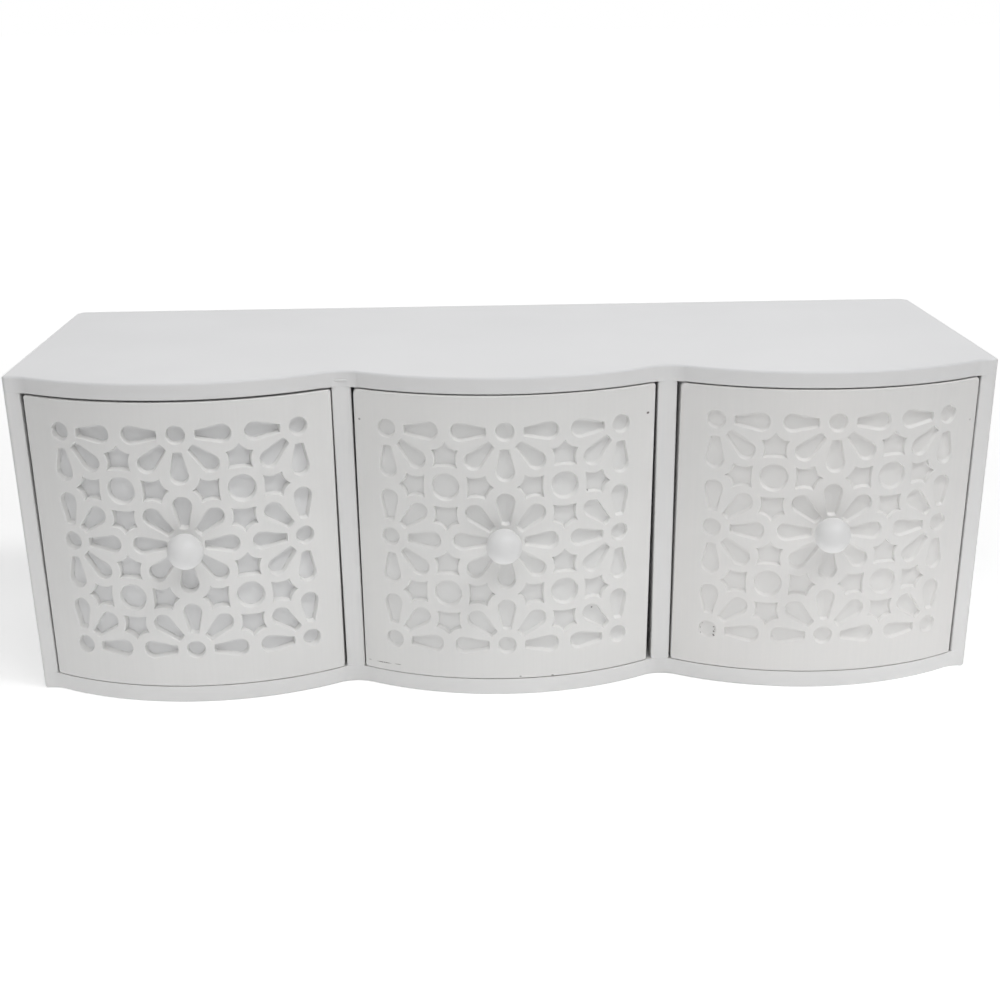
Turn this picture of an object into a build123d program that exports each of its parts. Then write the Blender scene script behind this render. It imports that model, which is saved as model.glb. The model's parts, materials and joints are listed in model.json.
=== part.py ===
"""Tabletop chest with three bow-fronted drawers side by side.

Each drawer front has a pierced flower pattern and a ball knob. Millimetres. +X right, +Y towards the back,
+Z up. The origin is under the middle of the whole chest, knobs included, on the surface that it stands on.
The drawers slide out along -Y.
"""

import os
from math import acos, atan2, cos, degrees, hypot, pi, sin, sqrt

from build123d import *

# Case
case_width = 360.0
case_height = 122.0
case_depth = 124.0  # from the flats of the front edge to the back
bow_rise = 16.5  # how far each bay swells ahead of those flats
top_thickness = 6.0
bottom_thickness = 6.5
side_thickness = 6.0
divider_thickness = 7.0
back_thickness = 3.0
housing_depth = 2.0  # how far a divider is let into the top and the bottom
rear_corner_radius = 4.5
front_corner_radius = 1.5
panel_edge_round = 0.8

# Drawers
side_gap = 1.15  # between a drawer and its bay, when it stands in the middle
top_gap = 0.6
bottom_gap = 0.5
runner_clearance = 0.2  # under the side boards, which slide on the bottom panel
rear_gap = 1.0
fretwork_thickness = 2.5
backing_thickness = 4.0
front_edge_round = 0.6
drawer_side_thickness = 6.0
drawer_back_thickness = 6.0
drawer_bottom_thickness = 3.0
side_drop = 3.5  # how far the side boards end below the top of the front
bottom_rise = 3.0  # how far the bottom sits above the lower edges of the side boards
groove_depth = 2.5
groove_play = 0.1

# How the drawers differ, as they are made and fitted by hand: left, middle, right
drawer_names = ("left_drawer", "middle_drawer", "right_drawer")
drawer_shifts = (0.3, -0.45, 0.05)  # to the right, within the bay
pattern_shifts = (1.2, -0.35, 0.05)  # to the right, along the bow
pattern_rises = (1.4, 0.2, 1.25)  # above the middle of the front
knob_shifts = (1.6, -1.2, -0.3)  # to the right of the middle of the front
knob_rises = (1.2, 0.5, 2.1)

# Flower pattern: three by three flowers, four round eyes between them and four stars round each eye
flower_spacing_across = 43.8
flower_spacing_up = 41.0
flower_eye_radius = 3.15
cell_eye_radius = 4.95
petal_half_width = 3.05
petal_root_half_width = 1.25
petal_count = 8
petal_root_share = 0.158  # where a petal starts and ends, of the flower spacing
petal_tip_share = 0.452
star_point_shares = ((0.0, 0.408), (0.112, 0.336), (0.103, 0.180))  # across and along: tip, side, foot
star_foot_share = 0.190  # how far the hollow between the feet is from the eye
star_hollow_share = 0.10  # how deep the other edges are hollowed, of their chords

# Knobs and their screws
knob_radius = 6.5
knob_flat_radius = 2.5
screw_radius = 1.5
screw_bite = 8.0  # how far a screw goes into its knob
screw_play = 0.1
screw_head_radius = 3.0
screw_head_height = 1.8
screw_head_round = 0.8
screw_slot_width = 0.7
screw_slot_depth = 0.9
screw_slot_length = 3.6

# Brads
brad_radius = 0.6
brad_play = 0.05
brad_point = 0.4
brad_cover = 0.8  # filler and paint over a sunk brad
case_brad_length = 17.0
back_brad_length = 14.0
front_brad_length = 20.0
front_brad_sink = 0.3
front_brad_inset = 10.6  # from the upper and lower edges of a drawer front
drawer_brad_length = 15.0
case_brad_shares = (0.16, 0.84)  # of the case depth
back_brad_shares = (0.25, 0.75)  # of the case height
drawer_brad_shares = (0.25, 0.75)  # of the height of a drawer back

cut_overrun = 1.0  # how far cutting shapes run past what they cut

# Places in the case that follow from those sizes
knob_centre_reach = sqrt(knob_radius**2 - knob_flat_radius**2)
knob_reach = knob_centre_reach + knob_radius
overall_depth = knob_reach + bow_rise + case_depth
back_y = overall_depth / 2
front_y = back_y - case_depth  # the flats of the front edge
back_panel_y = back_y - back_thickness
opening_bottom = bottom_thickness
opening_top = case_height - top_thickness
bay_width = (case_width - 2 * side_thickness - 2 * divider_thickness) / 3
bay_spacing = bay_width + divider_thickness
bay_centres = (-bay_spacing, 0, bay_spacing)
divider_centres = (-bay_spacing / 2, bay_spacing / 2)
side_centres = (-(case_width - side_thickness) / 2, (case_width - side_thickness) / 2)
bow_radius = ((bay_width / 2) ** 2 + bow_rise**2) / (2 * bow_rise)
bow_axis_y = front_y - bow_rise + bow_radius

# Places in a drawer
front_bottom = opening_bottom + bottom_gap
front_top = opening_top - top_gap
front_height = front_top - front_bottom
front_middle = (front_bottom + front_top) / 2
backing_radius = bow_radius - fretwork_thickness
inner_radius = backing_radius - backing_thickness
drawer_half = bay_width / 2 - side_gap
side_middle = drawer_half - drawer_side_thickness / 2
inner_half = drawer_half - drawer_side_thickness
tongue_half = inner_half + groove_depth
drawer_rear = back_panel_y - rear_gap
side_bottom = opening_bottom + runner_clearance
side_top = front_top - side_drop
board_bottom = side_bottom + bottom_rise
board_top = board_bottom + drawer_bottom_thickness


def bow_y(radius, offset):
    """The y of a bent layer's face, at an offset to the side of its middle."""
    return bow_axis_y - sqrt(radius**2 - offset**2)


def bow_plane(centre, along, height):
    """A plane that touches the bent front at a length along the bow, facing outwards."""
    angle = along / bow_radius
    touch = (centre + bow_radius * sin(angle), bow_axis_y - bow_radius * cos(angle), height)
    return Plane(origin=touch, x_dir=(cos(angle), sin(angle), 0), z_dir=(sin(angle), -cos(angle), 0))


def keep(piece, name):
    """Label a finished piece and write it out."""
    piece.part.label = name
    export_step(piece.part, f"parts/{name}.step")


# Brads. Each is a plane and a length: it starts at the plane and goes along the plane's normal.


def upright_brads(x):
    """The brads that hold one upright from above and from below."""
    depths = [front_y + share * case_depth for share in case_brad_shares]
    above = [Plane(origin=(x, y, case_height - brad_cover), z_dir=(0, 0, -1)) for y in depths]
    below = [Plane(origin=(x, y, brad_cover), z_dir=(0, 0, 1)) for y in depths]
    return [(plane, case_brad_length) for plane in above], [(plane, case_brad_length) for plane in below]


def divider_back_brads(x):
    """The brads that go through the back panel into one divider."""
    heights = [share * case_height for share in back_brad_shares]
    return [(Plane(origin=(x, back_y, z), z_dir=(0, -1, 0)), back_brad_length) for z in heights]


def front_brads(centre):
    """The brads that go through a drawer front into the ends of its side boards."""
    start = bow_y(bow_radius, side_middle + brad_radius) + front_brad_sink
    columns = (centre - side_middle, centre + side_middle)
    heights = (front_bottom + front_brad_inset, front_top - front_brad_inset)
    places = [(x, start, z) for x in columns for z in heights]
    return [(Plane(origin=place, z_dir=(0, 1, 0)), front_brad_length) for place in places]


def drawer_back_brads(centre):
    """The brads that go through the side boards of a drawer into its back."""
    depth = drawer_rear - drawer_back_thickness / 2
    heights = [board_top + share * (side_top - board_top) for share in drawer_brad_shares]
    return [
        (Plane(origin=(centre + hand * drawer_half, depth, z), z_dir=(-hand, 0, 0)), drawer_brad_length)
        for hand in (-1, 1)
        for z in heights
    ]


def drill(brads, lead=0):
    """Cut the holes that brads fill out of the piece being made, from a lead ahead of their starts."""
    for plane, length in brads:
        with BuildSketch(plane.offset(-lead)) as hole:
            Circle(brad_radius + brad_play)
        extrude(hole.sketch, amount=lead + length, mode=Mode.SUBTRACT)


def brad_group(brads):
    """Pointed brads, as one piece of separate solids."""
    with BuildPart() as group:
        for plane, length in brads:
            with BuildSketch(plane):
                Circle(brad_radius)
            extrude(amount=length)
        rims = group.edges().filter_by(GeomType.CIRCLE)
        points = [rims.sort_by_distance(plane.origin + plane.z_dir * length)[0] for plane, length in brads]
        chamfer(points, length=brad_point)
    return group


def panel_outline():
    """The outline of the top and bottom panels: bows and flats in front, and round corners."""
    half = case_width / 2
    with BuildSketch() as outline:
        with BuildLine():
            reached = (-half, front_y)
            for centre in bay_centres:
                start = (centre - bay_width / 2, front_y)
                end = (centre + bay_width / 2, front_y)
                Line(reached, start)
                ThreePointArc(start, (centre, front_y - bow_rise), end)
                reached = end
            Polyline(reached, (half, front_y), (half, back_y), (-half, back_y), (-half, front_y))
        make_face()
        fillet(outline.vertices().group_by(Axis.Y)[-1], radius=rear_corner_radius)
        front_vertices = outline.vertices().group_by(Axis.Y)[0].sort_by(Axis.X)
        fillet([front_vertices[0], front_vertices[-1]], radius=front_corner_radius)
    return outline.sketch


os.makedirs("parts", exist_ok=True)

# All the brads of the case
brads_above = []
brads_below = []
for x in (*side_centres, *divider_centres):
    above, below = upright_brads(x)
    brads_above += above
    brads_below += below
brads_behind = [brad for x in divider_centres for brad in divider_back_brads(x)]
keep(brad_group(brads_above), "top_brads")
keep(brad_group(brads_below), "bottom_brads")
keep(brad_group(brads_behind), "back_brads")

# Top and bottom panels, with housings for the dividers
for name, level, thickness, inner_face, brads in (
    ("top_panel", opening_top, top_thickness, opening_top, brads_above),
    ("bottom_panel", 0, bottom_thickness, opening_bottom, brads_below),
):
    with BuildPart() as panel:
        with BuildSketch(Plane.XY.offset(level)):
            add(panel_outline())
        extrude(amount=thickness)
        fillet(panel.faces().filter_by(Axis.Z).edges(), radius=panel_edge_round)
        with Locations(*[(x, front_y, inner_face) for x in divider_centres]):
            Box(
                divider_thickness,
                back_panel_y - front_y,
                2 * housing_depth,
                align=(Align.CENTER, Align.MIN, Align.CENTER),
                mode=Mode.SUBTRACT,
            )
        drill(brads)
    keep(panel, name)

# Side panels, between the top and the bottom, rounded behind as those are
for name, x in zip(("left_side_panel", "right_side_panel"), side_centres):
    with BuildPart() as panel:
        with Locations((x, front_y, opening_bottom)):
            Box(
                side_thickness,
                case_depth,
                opening_top - opening_bottom,
                align=(Align.CENTER, Align.MIN, Align.MIN),
            )
        outer_edges = panel.edges().filter_by(Axis.Z).sort_by(lambda edge: abs(edge.center().X))[-2:]
        fillet(outer_edges.sort_by(Axis.Y)[-1], radius=rear_corner_radius)
        fillet(outer_edges.sort_by(Axis.Y)[0], radius=front_corner_radius)
        for brads in upright_brads(x):
            drill(brads)
    keep(panel, name)

# Dividers, in their housings
for name, x in zip(("left_divider", "right_divider"), divider_centres):
    with BuildPart() as divider:
        with Locations((x, front_y, opening_bottom - housing_depth)):
            Box(
                divider_thickness,
                back_panel_y - front_y,
                opening_top - opening_bottom + 2 * housing_depth,
                align=(Align.CENTER, Align.MIN, Align.MIN),
            )
        for brads in upright_brads(x):
            drill(brads)
        drill(divider_back_brads(x))
    keep(divider, name)

# Back panel, glued in between the other panels and pinned to the dividers
with BuildPart() as back_panel:
    with Locations((0, back_panel_y, opening_bottom)):
        Box(
            case_width - 2 * side_thickness,
            back_thickness,
            opening_top - opening_bottom,
            align=(Align.CENTER, Align.MIN, Align.MIN),
        )
    drill(brads_behind)
keep(back_panel, "back_panel")


def bent_layer(centre, outer_radius, thickness):
    """One bent layer of a drawer front, seen from above, its ends cut in line with the side boards."""
    face_radius = outer_radius - thickness
    outer_end = bow_y(outer_radius, drawer_half)
    inner_end = bow_y(face_radius, drawer_half)
    left = centre - drawer_half
    right = centre + drawer_half
    with BuildSketch() as outline:
        with BuildLine():
            ThreePointArc((left, outer_end), (centre, bow_y(outer_radius, 0)), (right, outer_end))
            Line((right, outer_end), (right, inner_end))
            ThreePointArc((right, inner_end), (centre, bow_y(face_radius, 0)), (left, inner_end))
            Line((left, inner_end), (left, outer_end))
        make_face()
    return outline.sketch


def petal_outline(spacing):
    """A petal that points along X, drawn about its own middle, with a blunt root and a round tip."""
    middle = spacing * (petal_root_share + petal_tip_share) / 2
    root = spacing * petal_root_share - middle
    tip_centre = spacing * petal_tip_share - petal_half_width - middle
    reach = hypot(root - tip_centre, petal_root_half_width)
    turn = atan2(petal_root_half_width, root - tip_centre) - acos(petal_half_width / reach)
    touch_x = tip_centre + petal_half_width * cos(turn)
    touch_y = petal_half_width * sin(turn)
    with BuildSketch() as petal:
        with BuildLine():
            Line((root, -petal_root_half_width), (touch_x, -touch_y))
            ThreePointArc((touch_x, -touch_y), (tip_centre + petal_half_width, 0), (touch_x, touch_y))
            Line((touch_x, touch_y), (root, petal_root_half_width))
            Line((root, petal_root_half_width), (root, -petal_root_half_width))
        make_face()
    return petal.sketch


def star_middle(along):
    """How far the middle of a star is from the eye that it points away from."""
    tip_share = star_point_shares[0][1]
    return along * (tip_share + star_foot_share) / 2


def star_outline(across, along):
    """A star with hollow edges that points along Y, drawn about its own middle."""
    middle = star_middle(along)
    right = [(across * x, along * y - middle) for x, y in star_point_shares]
    left = [(-x, y) for x, y in reversed(right[1:])]
    points = right + left
    right_foot = len(right) - 1
    with BuildSketch() as star:
        with BuildLine():
            for index, start in enumerate(points):
                end = points[(index + 1) % len(points)]
                hollow_x = (start[0] + end[0]) / 2 + star_hollow_share * (end[1] - start[1])
                hollow_y = (start[1] + end[1]) / 2 - star_hollow_share * (end[0] - start[0])
                if index == right_foot:
                    hollow_y = along * star_foot_share - middle
                ThreePointArc(start, (hollow_x, hollow_y), end)
        make_face()
    return star.sketch


def pattern_holes():
    """Each hole of the pattern: its place along and up from the middle, its outline and its turn."""
    across, up = flower_spacing_across, flower_spacing_up
    petal_share = (petal_root_share + petal_tip_share) / 2
    holes = []
    with BuildSketch() as flower_eye:
        Circle(flower_eye_radius)
    with BuildSketch() as cell_eye:
        Circle(cell_eye_radius)
    for column in (-1, 0, 1):
        for row in (-1, 0, 1):
            # the middle flower has the knob for its eye
            if column or row:
                holes.append((column * across, row * up, flower_eye.sketch, 0))
            for index in range(petal_count):
                lean_x = cos(2 * pi * index / petal_count)
                lean_y = sin(2 * pi * index / petal_count)
                # no petal points out of the pattern
                if max(abs(column + lean_x), abs(row + lean_y)) > 3 / 2:
                    continue
                petal = petal_outline(hypot(across * lean_x, up * lean_y))
                turn = degrees(atan2(up * lean_y, across * lean_x))
                along = across * (column + petal_share * lean_x)
                height = up * (row + petal_share * lean_y)
                holes.append((along, height, petal, turn))
    upright_star = star_outline(across, up)
    lying_star = star_outline(up, across)
    for eye_x in (-across / 2, across / 2):
        for eye_y in (-up / 2, up / 2):
            holes.append((eye_x, eye_y, cell_eye.sketch, 0))
            holes.append((eye_x, eye_y + star_middle(up), upright_star, 0))
            holes.append((eye_x, eye_y - star_middle(up), upright_star, 180))
            holes.append((eye_x - star_middle(across), eye_y, lying_star, 90))
            holes.append((eye_x + star_middle(across), eye_y, lying_star, -90))
    return holes


holes = pattern_holes()
for drawer, bay_centre, drawer_shift, pattern_shift, pattern_rise, knob_shift, knob_rise in zip(
    drawer_names, bay_centres, drawer_shifts, pattern_shifts, pattern_rises, knob_shifts, knob_rises
):
    centre = bay_centre + drawer_shift
    pattern_middle = front_middle + pattern_rise
    knob_base = (centre + knob_shift, bow_y(bow_radius, 0), front_middle + knob_rise)
    knob_plane = Plane(origin=knob_base, x_dir=(1, 0, 0), z_dir=(0, -1, 0))

    # Brads
    keep(brad_group(front_brads(centre)), f"{drawer}_front_brads")
    keep(brad_group(drawer_back_brads(centre)), f"{drawer}_back_brads")

    # Outer layer of the front, with the pattern cut square to the bow
    with BuildPart() as fretwork:
        with BuildSketch(Plane.XY.offset(front_bottom)):
            add(bent_layer(centre, bow_radius, fretwork_thickness))
        extrude(amount=front_height)
        outer_face = fretwork.faces().filter_by(GeomType.CYLINDER).sort_by(Axis.Y)[0]
        fillet(outer_face.edges(), radius=front_edge_round)
        for along, height, outline, turn in holes:
            with BuildSketch(bow_plane(centre, pattern_shift + along, pattern_middle + height)):
                add(outline, rotation=turn)
        extrude(amount=-(fretwork_thickness + cut_overrun), mode=Mode.SUBTRACT)
        with BuildSketch(knob_plane.offset(cut_overrun)):
            Circle(screw_radius + screw_play)
        extrude(amount=-(fretwork_thickness + 2 * cut_overrun), mode=Mode.SUBTRACT)
        drill(front_brads(centre), lead=bow_rise)
    keep(fretwork, f"{drawer}_front_fretwork")

    # Inner layer of the front
    with BuildPart() as backing:
        with BuildSketch(Plane.XY.offset(front_bottom)):
            add(bent_layer(centre, backing_radius, backing_thickness))
        extrude(amount=front_height)
        with BuildSketch(knob_plane):
            Circle(screw_radius + screw_play)
        extrude(amount=-(fretwork_thickness + backing_thickness + cut_overrun), mode=Mode.SUBTRACT)
        drill(front_brads(centre))
    keep(backing, f"{drawer}_front_backing")

    # Side boards, their front ends scribed to the bent front, grooved for the bottom
    for name, hand in (("left_side", -1), ("right_side", 1)):
        outer = (centre + hand * drawer_half, bow_y(inner_radius, drawer_half))
        middle = (centre + hand * side_middle, bow_y(inner_radius, side_middle))
        inner = (centre + hand * inner_half, bow_y(inner_radius, inner_half))
        with BuildPart() as board:
            with BuildSketch(Plane.XY.offset(side_bottom)):
                with BuildLine():
                    ThreePointArc(outer, middle, inner)
                    Polyline(inner, (inner[0], drawer_rear), (outer[0], drawer_rear), outer)
                make_face()
            extrude(amount=side_top - side_bottom)
            with Locations((inner[0], drawer_rear + cut_overrun, board_bottom - groove_play / 2)):
                Box(
                    2 * (groove_depth + groove_play),
                    drawer_rear - inner[1] + bow_rise,
                    drawer_bottom_thickness + groove_play,
                    align=(Align.CENTER, Align.MAX, Align.MIN),
                    mode=Mode.SUBTRACT,
                )
            drill(front_brads(centre))
            drill(drawer_back_brads(centre))
        keep(board, f"{drawer}_{name}")

    # Back, standing on the bottom
    with BuildPart() as drawer_back:
        with Locations((centre, drawer_rear, board_top)):
            Box(
                2 * inner_half,
                drawer_back_thickness,
                side_top - board_top,
                align=(Align.CENTER, Align.MAX, Align.MIN),
            )
        drill(drawer_back_brads(centre))
    keep(drawer_back, f"{drawer}_back")

    # Bottom, its long edges in the grooves and its front edge bowed like the front
    with BuildPart() as bottom:
        left = (centre - tongue_half, bow_y(inner_radius, tongue_half))
        right = (centre + tongue_half, bow_y(inner_radius, tongue_half))
        with BuildSketch(Plane.XY.offset(board_bottom)):
            with BuildLine():
                ThreePointArc(left, (centre, bow_y(inner_radius, 0)), right)
                Polyline(right, (right[0], drawer_rear), (left[0], drawer_rear), left)
            make_face()
        extrude(amount=drawer_bottom_thickness)
    keep(bottom, f"{drawer}_bottom")

    # Ball knob, flattened where it meets the front
    with BuildPart() as knob:
        with Locations(knob_plane.offset(knob_centre_reach).location):
            Sphere(knob_radius)
        split(bisect_by=knob_plane, keep=Keep.TOP)
        with BuildSketch(knob_plane):
            Circle(screw_radius + screw_play)
        extrude(amount=screw_bite + screw_play, mode=Mode.SUBTRACT)
    keep(knob, f"{drawer}_knob")

    # Knob screw, its cross-slotted head inside the drawer
    head_y = bow_y(inner_radius, abs(knob_shift) + screw_head_radius)
    head_base = (knob_base[0], head_y, knob_base[2])
    head_plane = Plane(origin=head_base, x_dir=(1, 0, 0), z_dir=(0, -1, 0))
    with BuildPart() as screw:
        with BuildSketch(head_plane):
            Circle(screw_head_radius)
        extrude(amount=-screw_head_height)
        fillet(screw.edges().sort_by(Axis.Y)[-1], radius=screw_head_round)
        with BuildSketch(head_plane.offset(-screw_head_height)):
            Rectangle(screw_slot_length, screw_slot_width)
            Rectangle(screw_slot_width, screw_slot_length)
        extrude(amount=screw_slot_depth, mode=Mode.SUBTRACT)
        with BuildSketch(head_plane):
            Circle(screw_radius)
        extrude(amount=head_y - knob_base[1] + screw_bite)
    keep(screw, f"{drawer}_knob_screw")
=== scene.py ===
"""Looks of the tabletop chest with three bow-fronted drawers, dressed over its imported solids.

Metres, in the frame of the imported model: +X right, +Y towards the back, +Z up.
"""

import json
from math import acos, asin, atan2, cos, hypot, pi, radians, sin, sqrt

import bmesh
import bpy
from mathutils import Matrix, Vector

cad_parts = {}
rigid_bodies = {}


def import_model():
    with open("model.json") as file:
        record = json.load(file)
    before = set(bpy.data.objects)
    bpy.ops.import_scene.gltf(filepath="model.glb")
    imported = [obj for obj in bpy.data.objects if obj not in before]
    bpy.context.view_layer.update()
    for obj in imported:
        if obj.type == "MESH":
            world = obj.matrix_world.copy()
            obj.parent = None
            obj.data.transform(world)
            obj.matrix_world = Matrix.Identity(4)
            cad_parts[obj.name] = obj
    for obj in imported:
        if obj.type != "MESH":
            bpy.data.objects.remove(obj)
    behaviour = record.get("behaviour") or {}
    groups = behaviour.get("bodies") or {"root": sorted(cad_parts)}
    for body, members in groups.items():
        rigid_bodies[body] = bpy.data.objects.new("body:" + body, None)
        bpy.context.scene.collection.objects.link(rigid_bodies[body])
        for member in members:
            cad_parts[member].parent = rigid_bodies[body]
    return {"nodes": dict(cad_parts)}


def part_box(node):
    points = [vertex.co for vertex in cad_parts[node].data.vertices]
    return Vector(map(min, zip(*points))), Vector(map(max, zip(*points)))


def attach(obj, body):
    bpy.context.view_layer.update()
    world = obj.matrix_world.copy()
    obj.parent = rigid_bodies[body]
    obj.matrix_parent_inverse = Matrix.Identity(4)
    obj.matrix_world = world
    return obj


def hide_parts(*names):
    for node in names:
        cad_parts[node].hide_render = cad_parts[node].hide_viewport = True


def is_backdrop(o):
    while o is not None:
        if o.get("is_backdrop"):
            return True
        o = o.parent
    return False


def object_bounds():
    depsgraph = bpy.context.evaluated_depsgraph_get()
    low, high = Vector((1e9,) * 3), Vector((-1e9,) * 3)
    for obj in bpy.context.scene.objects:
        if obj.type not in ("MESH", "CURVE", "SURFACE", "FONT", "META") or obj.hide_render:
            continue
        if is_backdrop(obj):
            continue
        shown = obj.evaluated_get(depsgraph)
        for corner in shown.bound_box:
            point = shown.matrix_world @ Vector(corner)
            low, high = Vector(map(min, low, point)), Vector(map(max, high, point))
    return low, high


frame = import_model()
cad_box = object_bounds()
nodes = frame["nodes"]
drawers = ("left_drawer", "middle_drawer", "right_drawer")

mm = 0.001

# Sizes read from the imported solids
case_low, case_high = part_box("top_panel")
flats_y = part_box("left_divider")[0][1]
bow_front_y = case_low[1]
bow_rise = flats_y - bow_front_y
bay_edges = [
    (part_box("left_side_panel")[1][0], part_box("left_divider")[0][0]),
    (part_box("left_divider")[1][0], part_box("right_divider")[0][0]),
    (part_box("right_divider")[1][0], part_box("right_side_panel")[0][0]),
]
bay_half = (bay_edges[1][1] - bay_edges[1][0]) / 2
bow_radius = (bay_half**2 + bow_rise**2) / (2 * bow_rise)

opening_low, opening_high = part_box("left_side_panel")[0][2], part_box("left_side_panel")[1][2]
tiny = 0.01 * mm  # closer than this is the same place
seam = 0.001 * mm  # closer than this, the holes and the face round them grow together

# Steps of the rounded forms
corner_steps = 5
bow_steps = 36
meeting_steps = 6
panel_steps = 4
opening_steps = 3
board_steps = 3
rim_steps = 4
floor_steps = 3
front_edge_steps = 4
petal_tip_steps = 14
petal_root_steps = 2
star_side_steps = 4
ball_segments, ball_rings = 48, 32
ridge_segments, ridge_rings = 24, 12

# Paint softens every edge
rear_corner = 4.5 * mm
front_corner = 1.5 * mm
meeting_round = 2.8 * mm  # where a bow meets a flat
meeting_clear = 2 / 3 * meeting_round  # this far in front of the flats, a bow is clear of that rounding
panel_round = 0.9 * mm
opening_round = 0.5 * mm
sill_round = 0.2 * mm  # the edge that the drawers close on
board_round = 0.4 * mm
smooth_below = 35  # degrees between faces that are shaded as one
# The ridge of paint over the left divider: half its width, depth and height, and how far behind the flats it lies
ridge_reach = (4.6 * mm, 0.7 * mm, 0.4 * mm)
ridge_sunk = 0.36 * mm

# The flower pattern, cut into the flat front before it is bent
flower_across = 43.8 * mm
flower_up = 41.0 * mm
flower_eye, flower_eye_sides = 3.75 * mm, 24
cell_eye, cell_eye_sides = 5.45 * mm, 32
petals, cell_stars = 8, 4
petal_half = 3.75 * mm
petal_root_half = 1.85 * mm
petal_root_share = 0.152
petal_tip_share = 0.4545
petal_root_swell = 0.3 * mm
star_shares = ((0.0, 0.408), (0.112, 0.336), (0.103, 0.180))
star_foot_share = 0.190
star_hollow_share = 0.13
star_growth = 1.07
star_sides = (2 * len(star_shares) - 1) * star_side_steps
pattern_edge_share = 1.1  # of a flower's spacing from the middle: holes further out are left away
pattern_shifts = (0.95 * mm, -0.35 * mm, 0.2 * mm)
pattern_rises = (1.4 * mm, 0.2 * mm, 1.25 * mm)
front_thickness = 6.5 * mm
# Each front is a little out of true: how far its sides stand out past the solid's, from the foot of the left side
# counter-clockwise, how far its head does, and how round its corners are, in the same order
front_fits = (
    ((1.02 * mm, 0.1 * mm, 0.66 * mm, 0.2 * mm), -0.15 * mm, (0.8 * mm, 0.8 * mm, 0.8 * mm, 0.8 * mm)),
    ((0.4 * mm, -0.38 * mm, 0.85 * mm, 0.0), 0.1 * mm, (0.8 * mm, 0.8 * mm, 1.0 * mm, 2.0 * mm)),
    ((0.7 * mm, 0.1 * mm, 0.52 * mm, -0.05 * mm), 0.1 * mm, (0.8 * mm, 0.8 * mm, 1.3 * mm, 1.7 * mm)),
)
foot_drop = 0.27 * mm
carving_depths = (2.3 * mm, 1.5 * mm, 1.2 * mm)
# How far paint rounds the rim of a hole, leans its wall, rounds its floor and fills it from below
hollow_paint = (0.35 * mm, 0.2 * mm, 0.3 * mm, 0.6 * mm)
star_paint = (0.3 * mm, 0.2 * mm, 0.25 * mm, 0.4 * mm)
# How hollow paint that ran down leaves the floors, and how far above their middle they are deepest
floor_hollow = 0.35 * mm
hollow_rise = 1.1 * mm
front_round = 0.5 * mm
strip_width = 2.9 * mm


# Shaping


def deselect_all():
    bpy.ops.object.select_all(action="DESELECT")


def choose(piece):
    """Make a piece the only selected and the active one."""
    deselect_all()
    piece.select_set(True)
    bpy.context.view_layer.objects.active = piece


def open_piece(piece):
    """Open a piece for shaping."""
    choose(piece)
    bpy.ops.object.mode_set(mode="EDIT")


def close_piece():
    bpy.ops.object.mode_set(mode="OBJECT")


def empty_piece(name):
    """A piece with nothing in it yet, at the origin, open for shaping."""
    deselect_all()
    bpy.ops.mesh.primitive_plane_add()
    piece = bpy.context.object
    piece.name = name
    piece.data.name = name
    bpy.ops.object.mode_set(mode="EDIT")
    bpy.ops.mesh.delete(type="VERT")
    return piece


def pick_all():
    bpy.ops.mesh.select_all(action="SELECT")


def pick_none():
    bpy.ops.mesh.select_all(action="DESELECT")


def pick(kind, test):
    """Select the vertices, edges or faces of the open piece that pass a test."""
    bpy.ops.mesh.select_mode(type=kind)
    pick_none()
    shape = bmesh.from_edit_mesh(bpy.context.object.data)
    parts = {"VERT": shape.verts, "EDGE": shape.edges, "FACE": shape.faces}[kind]
    for part in parts:
        if test(part):
            part.select_set(True)
    shape.select_flush_mode()
    bmesh.update_edit_mesh(bpy.context.object.data)


def middle(part):
    """The middle of an edge or a face."""
    return sum((v.co for v in part.verts), part.verts[0].co * 0) / len(part.verts)


def pen_down(place):
    """Put a single point into the open piece."""
    bpy.ops.mesh.select_mode(type="VERT")
    pick_none()
    bpy.ops.mesh.primitive_plane_add(size=mm, location=place)
    bpy.ops.mesh.merge(type="CENTER")


def pen_line(step):
    bpy.ops.mesh.extrude_region_move(TRANSFORM_OT_translate={"value": step})


def pen_arc(centre, axis, angle, steps):
    # spin turns clockwise about its axis
    bpy.ops.mesh.spin(steps=steps, angle=-angle, center=centre, axis=axis)


def close_outline():
    """Make a face of the outline that the pen has drawn."""
    bpy.ops.mesh.select_linked()
    bpy.ops.mesh.remove_doubles(threshold=tiny)
    bpy.ops.mesh.edge_face_add()


def arc_through(start, through, end):
    """The centre and the turn, counter-clockwise, of the arc through three points of a plane."""
    (ax, ay), (bx, by), (cx, cy) = start, through, end
    d = 2 * (ax * (by - cy) + bx * (cy - ay) + cx * (ay - by))
    a, b, c = ax * ax + ay * ay, bx * bx + by * by, cx * cx + cy * cy
    ux = (a * (by - cy) + b * (cy - ay) + c * (ay - by)) / d
    uy = (a * (cx - bx) + b * (ax - cx) + c * (bx - ax)) / d
    first = atan2(ay - uy, ax - ux)
    turn = (atan2(cy - uy, cx - ux) - first) % (2 * pi)
    passed = (atan2(by - uy, bx - ux) - first) % (2 * pi)
    return (ux, uy), turn if passed < turn else turn - 2 * pi


def draw_outline(points, plane):
    """Draw a closed outline. An entry is a point that a line goes to, or a point that an arc goes through, its end
    and its number of steps."""
    lift, axis = plane
    here = points[0]
    pen_down(lift(*here))
    for entry in points[1:]:
        if len(entry) == 3:
            through, end, steps = entry
            centre, turn = arc_through(here, through, end)
            pen_arc(lift(*centre), axis, turn, steps)
            here = end
        else:
            pen_line([b - a for a, b in zip(lift(*here), lift(*entry))])
            here = entry
    close_outline()


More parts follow.
